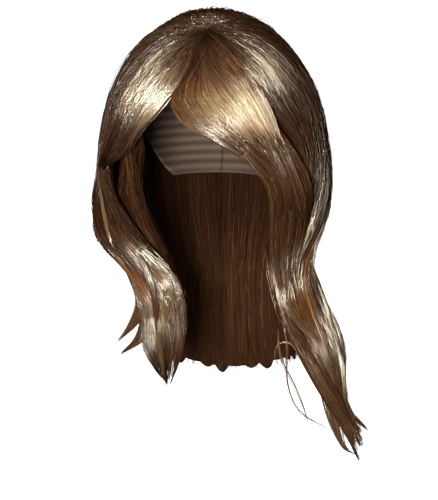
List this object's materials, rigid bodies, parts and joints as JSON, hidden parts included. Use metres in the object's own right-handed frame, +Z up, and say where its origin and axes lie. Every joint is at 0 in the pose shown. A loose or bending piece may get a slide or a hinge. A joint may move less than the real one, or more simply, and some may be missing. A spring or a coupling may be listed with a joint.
{
  "type": "wig with bangs",
  "caption": "Long layered blonde wig with side-swept bangs, flicked tips and an open stretch cap, held up as it is worn.",
  "frame": {"origin": "inner top of the cap, where the crown of a head meets it", "axes": "+Z up along the head, -Y towards the face, +X towards the wearer's left"},
  "size_m": [0.2768, 0.2351, 0.4379],
  "materials": {
    "cap_net": "matt knitted net with sewn wefts",
    "bangs_fibre": "glossy synthetic fibre, pale streaks over golden brown",
    "side_fibre": "glossy synthetic fibre, golden brown with pale streaks",
    "back_fibre": "glossy synthetic fibre, golden brown",
    "under_fibre": "synthetic fibre, darker brown"
  },
  "bodies": {
    "root": {"cap_crown_front_left": "cap_net", "cap_crown_back_left": "cap_net", "cap_crown_back_right": "cap_net", "cap_crown_front_right": "cap_net", "cap_band_front_left": "cap_net", "cap_band_back_left": "cap_net", "cap_band_back_right": "cap_net", "cap_band_front_right": "cap_net", "bangs_short_sweep": "bangs_fibre", "bangs_long_sweep": "bangs_fibre", "right_side_hair": "side_fibre", "left_side_hair": "side_fibre", "back_hair": "back_fibre", "right_under_hair": "under_fibre", "left_under_hair": "under_fibre"}
  },
  "joints": []
}
